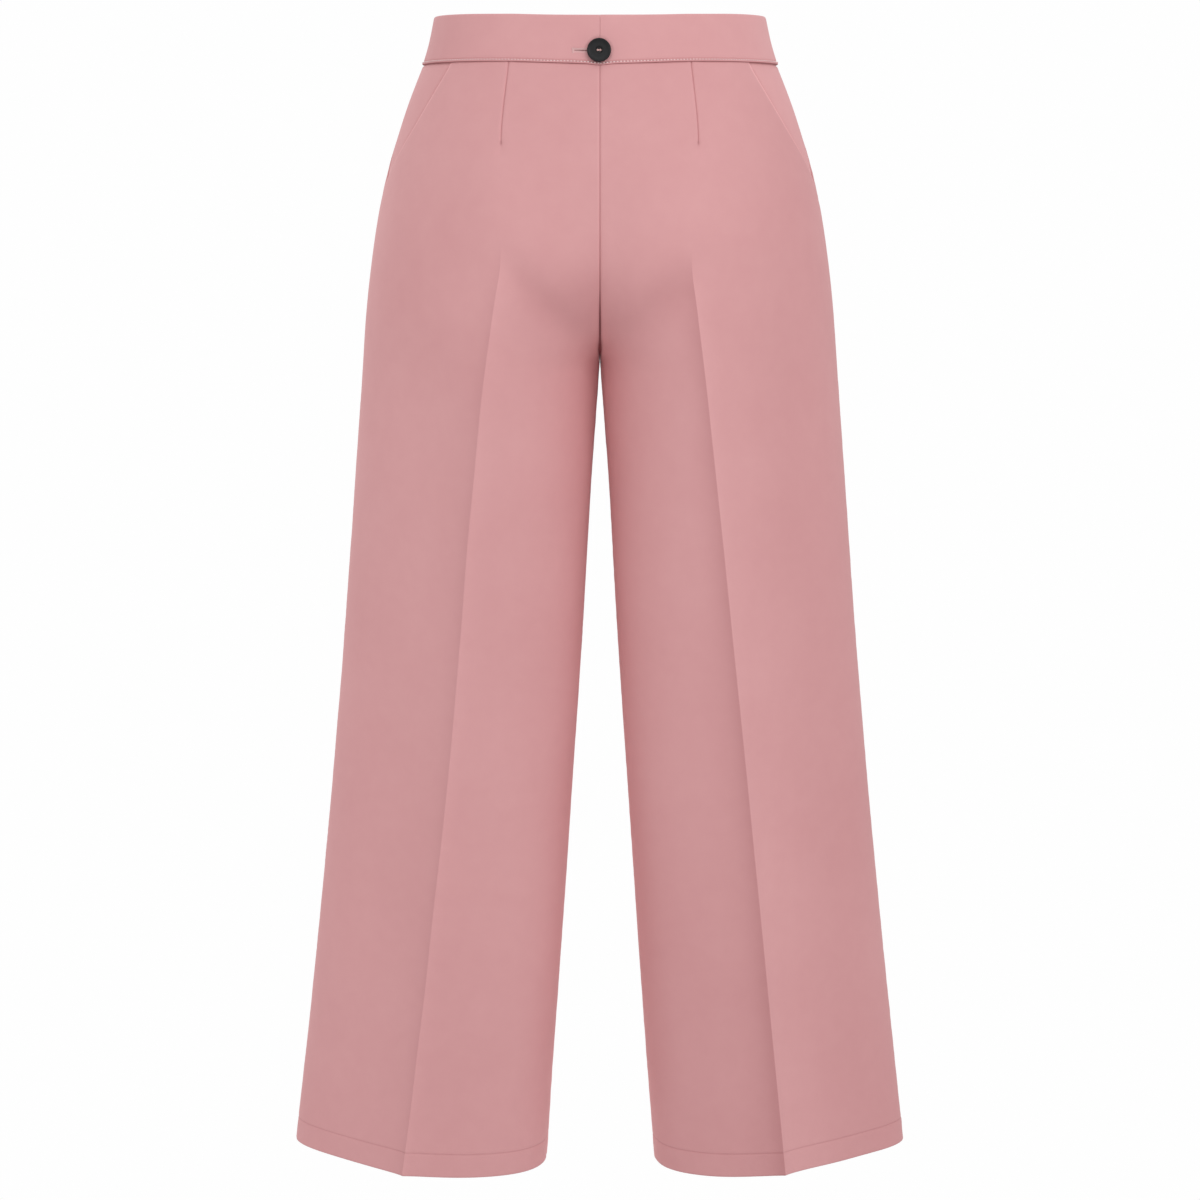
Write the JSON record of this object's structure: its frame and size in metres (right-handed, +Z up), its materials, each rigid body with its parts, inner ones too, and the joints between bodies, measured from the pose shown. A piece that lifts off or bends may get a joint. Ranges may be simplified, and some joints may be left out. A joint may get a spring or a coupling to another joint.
{
  "type": "wide-leg trousers",
  "caption": "High-waisted wide-leg trousers with pressed creases, back darts and slanted front pockets, standing open as worn.",
  "frame": {"origin": "the middle of the waist opening, level with the waistband's top edge at the centre back", "axes": "+Z up out of the waist, -Y towards the garment's back, which is the side in the picture, +Y towards its front, +X towards the wearer's right"},
  "size_m": [0.5624, 0.2456, 1.0241],
  "materials": {
    "pink_suiting": "matt dusty-pink suiting with a fine even weave, pressed",
    "pocket_suiting": "the same dusty-pink suiting, a little smoother",
    "waistband_suiting": "the same dusty-pink suiting, interfaced and firmly pressed",
    "zip_tape": "matt woven tape in the cloth's colour",
    "black_button": "satin black, turned",
    "pink_thread": "wound sewing thread"
  },
  "bodies": {
    "root": {"back_left": "pink_suiting", "back_right": "pink_suiting", "front_left": "pink_suiting", "front_right": "pink_suiting", "pocket_left": "pocket_suiting", "pocket_right": "pocket_suiting", "waistband": "waistband_suiting", "back_zip": "zip_tape", "button": "black_button", "button_thread": "pink_thread"}
  },
  "joints": []
}
